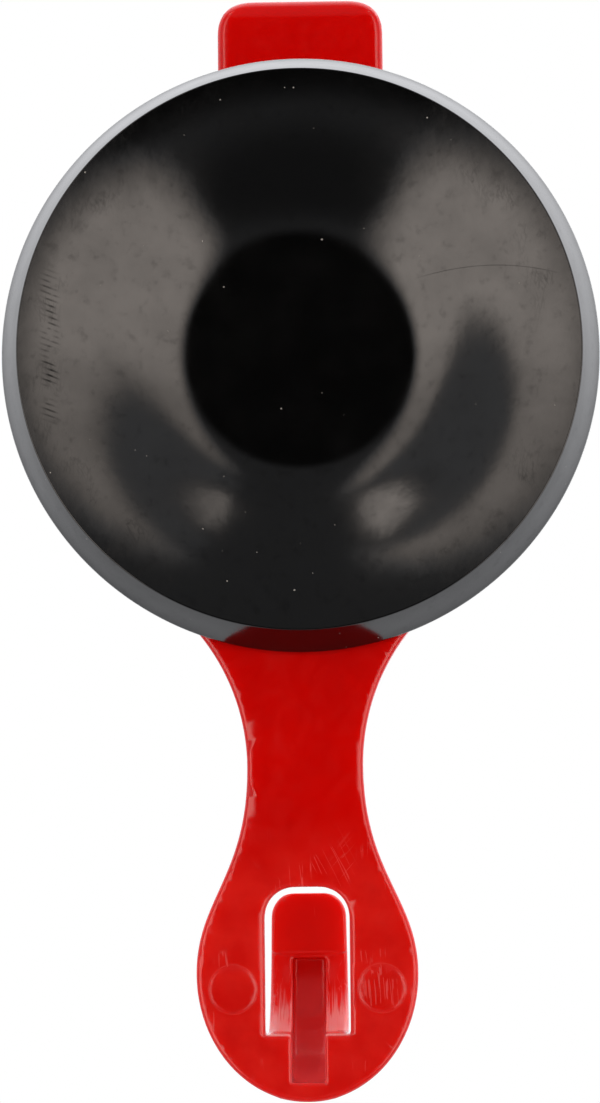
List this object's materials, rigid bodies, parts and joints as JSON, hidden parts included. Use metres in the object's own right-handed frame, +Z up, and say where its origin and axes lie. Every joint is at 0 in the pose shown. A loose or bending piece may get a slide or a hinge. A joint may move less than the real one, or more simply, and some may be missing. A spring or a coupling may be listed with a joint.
{
  "type": "suction hook",
  "caption": "Wall hook on a vacuum cup: a fold-over cam lever pulls the cup's stem to grip, and a moulded curved hook hangs below.",
  "frame": {"origin": "centre of the cup's sealing lip, on the wall plane", "axes": "+Z up the wall in use, +Y into the wall, +X to the right as seen from in front of the wall"},
  "size_m": [0.06, 0.0282, 0.1137],
  "materials": {
    "cup_pvc": "glossy moulded soft PVC",
    "red_abs": "glossy moulded ABS",
    "stem_nylon": "natural moulded nylon",
    "stainless": "rolled stainless sheet",
    "zinc_steel": "zinc plated",
    "spring_steel": "bright drawn spring wire"
  },
  "bodies": {
    "housing": {"suction_cup": "cup_pvc", "housing": "red_abs", "slip_plate": "stainless", "return_spring": "spring_steel"},
    "stem": {"stem": "stem_nylon", "spring_washer": "zinc_steel", "pivot_pin": "zinc_steel", "push_nut": "spring_steel", "spacer_left": "stem_nylon", "spacer_right": "stem_nylon"},
    "lever": {"lever": "red_abs"}
  },
  "joints": [
    {"name": "stem_slide", "type": "slide", "parent": "housing", "child": "stem", "axis": [0, 1, 0], "range_m": [0, 0.003], "deforming": ["suction_cup", "return_spring"]},
    {"name": "lever_swing", "type": "hinge", "parent": "stem", "child": "lever", "pos_m": [0, -0.02325, 0], "axis": [1, 0, 0], "range_deg": [0, 100]}
  ],
  "couplings": [
    {"joint": "stem_slide", "follows": "lever_swing", "m_per_rad": 0.0017189}
  ]
}
